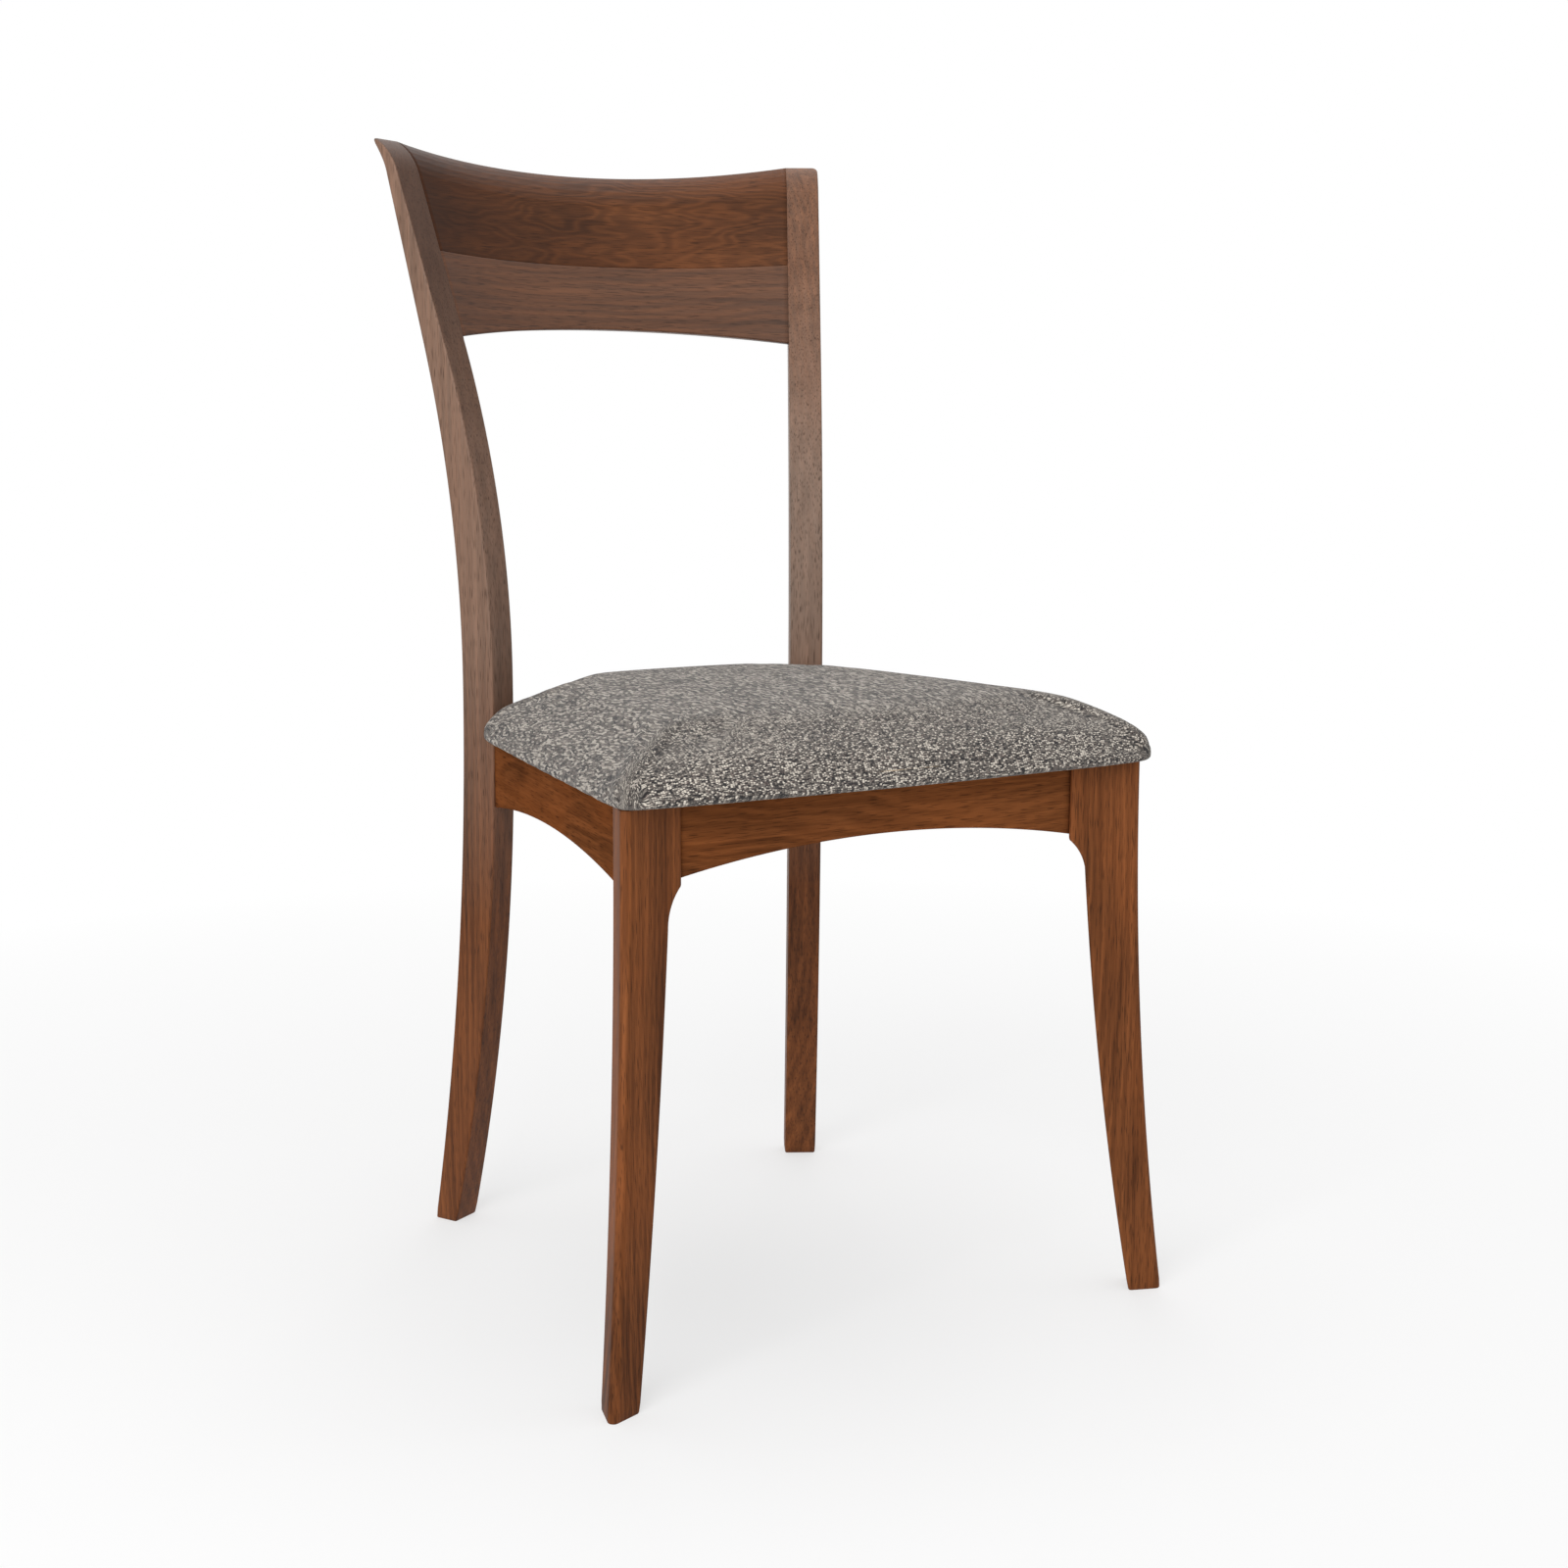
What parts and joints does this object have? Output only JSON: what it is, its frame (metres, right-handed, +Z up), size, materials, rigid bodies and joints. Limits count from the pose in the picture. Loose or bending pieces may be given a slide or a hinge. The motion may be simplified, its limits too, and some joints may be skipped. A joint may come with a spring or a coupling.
{
  "type": "shaker side chair",
  "caption": "Walnut side chair with a curved crest between swept plank posts, flared diagonal front legs, arched aprons and a padded tweed seat.",
  "frame": {"origin": "middle of the footprint on the floor", "axes": "+Z up, the front of the chair faces -Y, +X to the right seen from the front"},
  "size_m": [0.4826, 0.5237, 0.888],
  "materials": {
    "walnut": "satin oil",
    "hardwood": "unfinished",
    "plywood": "unfinished",
    "screw_steel": "zinc",
    "foam": "open-cell foam",
    "seat_cloth": "woven tweed",
    "dust_cloth": "thin black cloth"
  },
  "bodies": {
    "root": {"rear_post_left": "walnut", "rear_post_right": "walnut", "crest_lower_board": "walnut", "crest_upper_board": "walnut", "front_leg_left": "walnut", "front_leg_right": "walnut", "front_apron": "walnut", "rear_apron": "walnut", "side_apron_left": "walnut", "side_apron_right": "walnut", "corner_block_front_left": "hardwood", "corner_block_front_right": "hardwood", "corner_block_rear_left": "hardwood", "corner_block_rear_right": "hardwood", "apron_tenons": "hardwood", "crest_tenons": "hardwood", "seat_screws": "screw_steel", "seat_board": "plywood", "seat_foam": "foam", "seat_cover": "seat_cloth", "dust_cover": "dust_cloth"}
  },
  "joints": []
}
